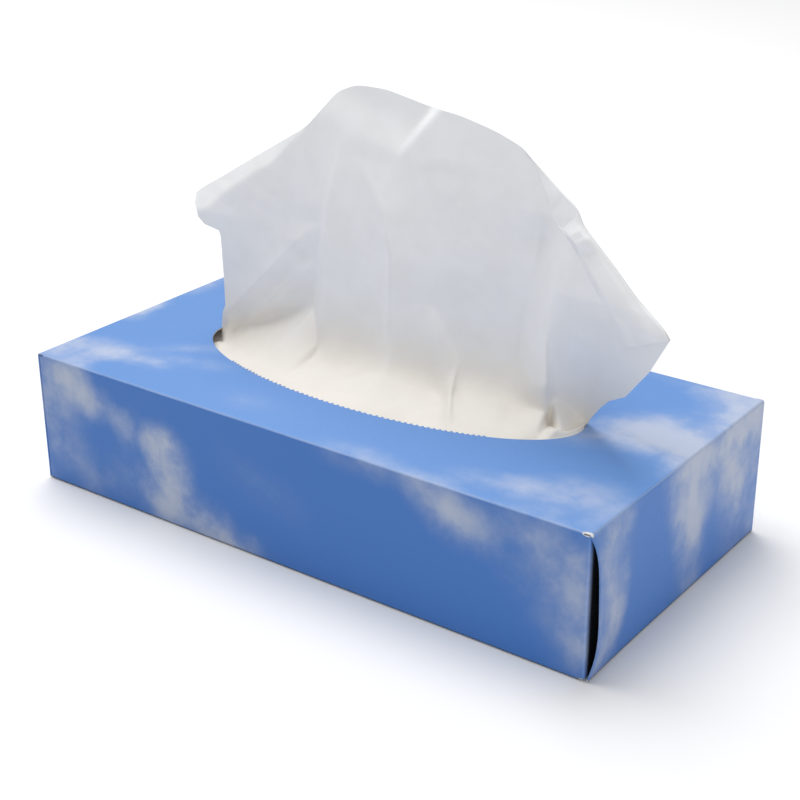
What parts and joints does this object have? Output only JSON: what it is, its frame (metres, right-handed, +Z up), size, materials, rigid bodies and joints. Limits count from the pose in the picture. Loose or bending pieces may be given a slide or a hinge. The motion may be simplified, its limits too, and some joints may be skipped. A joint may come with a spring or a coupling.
{
  "type": "tissue box",
  "caption": "Flat cardboard tissue box with a sky print, glued end flaps and an oval mouth in its top, through which a pleated tissue stands up ready to pull.",
  "frame": {"origin": "middle of the carton's underside", "axes": "+Z up, +X along the carton's length towards the end whose flap has sprung, -Y out of the front panel"},
  "size_m": [0.2335, 0.115, 0.1502],
  "materials": {
    "printed_board": "satin sky print on white-lined board",
    "tissue": "soft matt two-ply tissue"
  },
  "bodies": {
    "root": {"carton": "printed_board", "tissue_stack": "tissue", "raised_tissue": "tissue"}
  },
  "joints": []
}
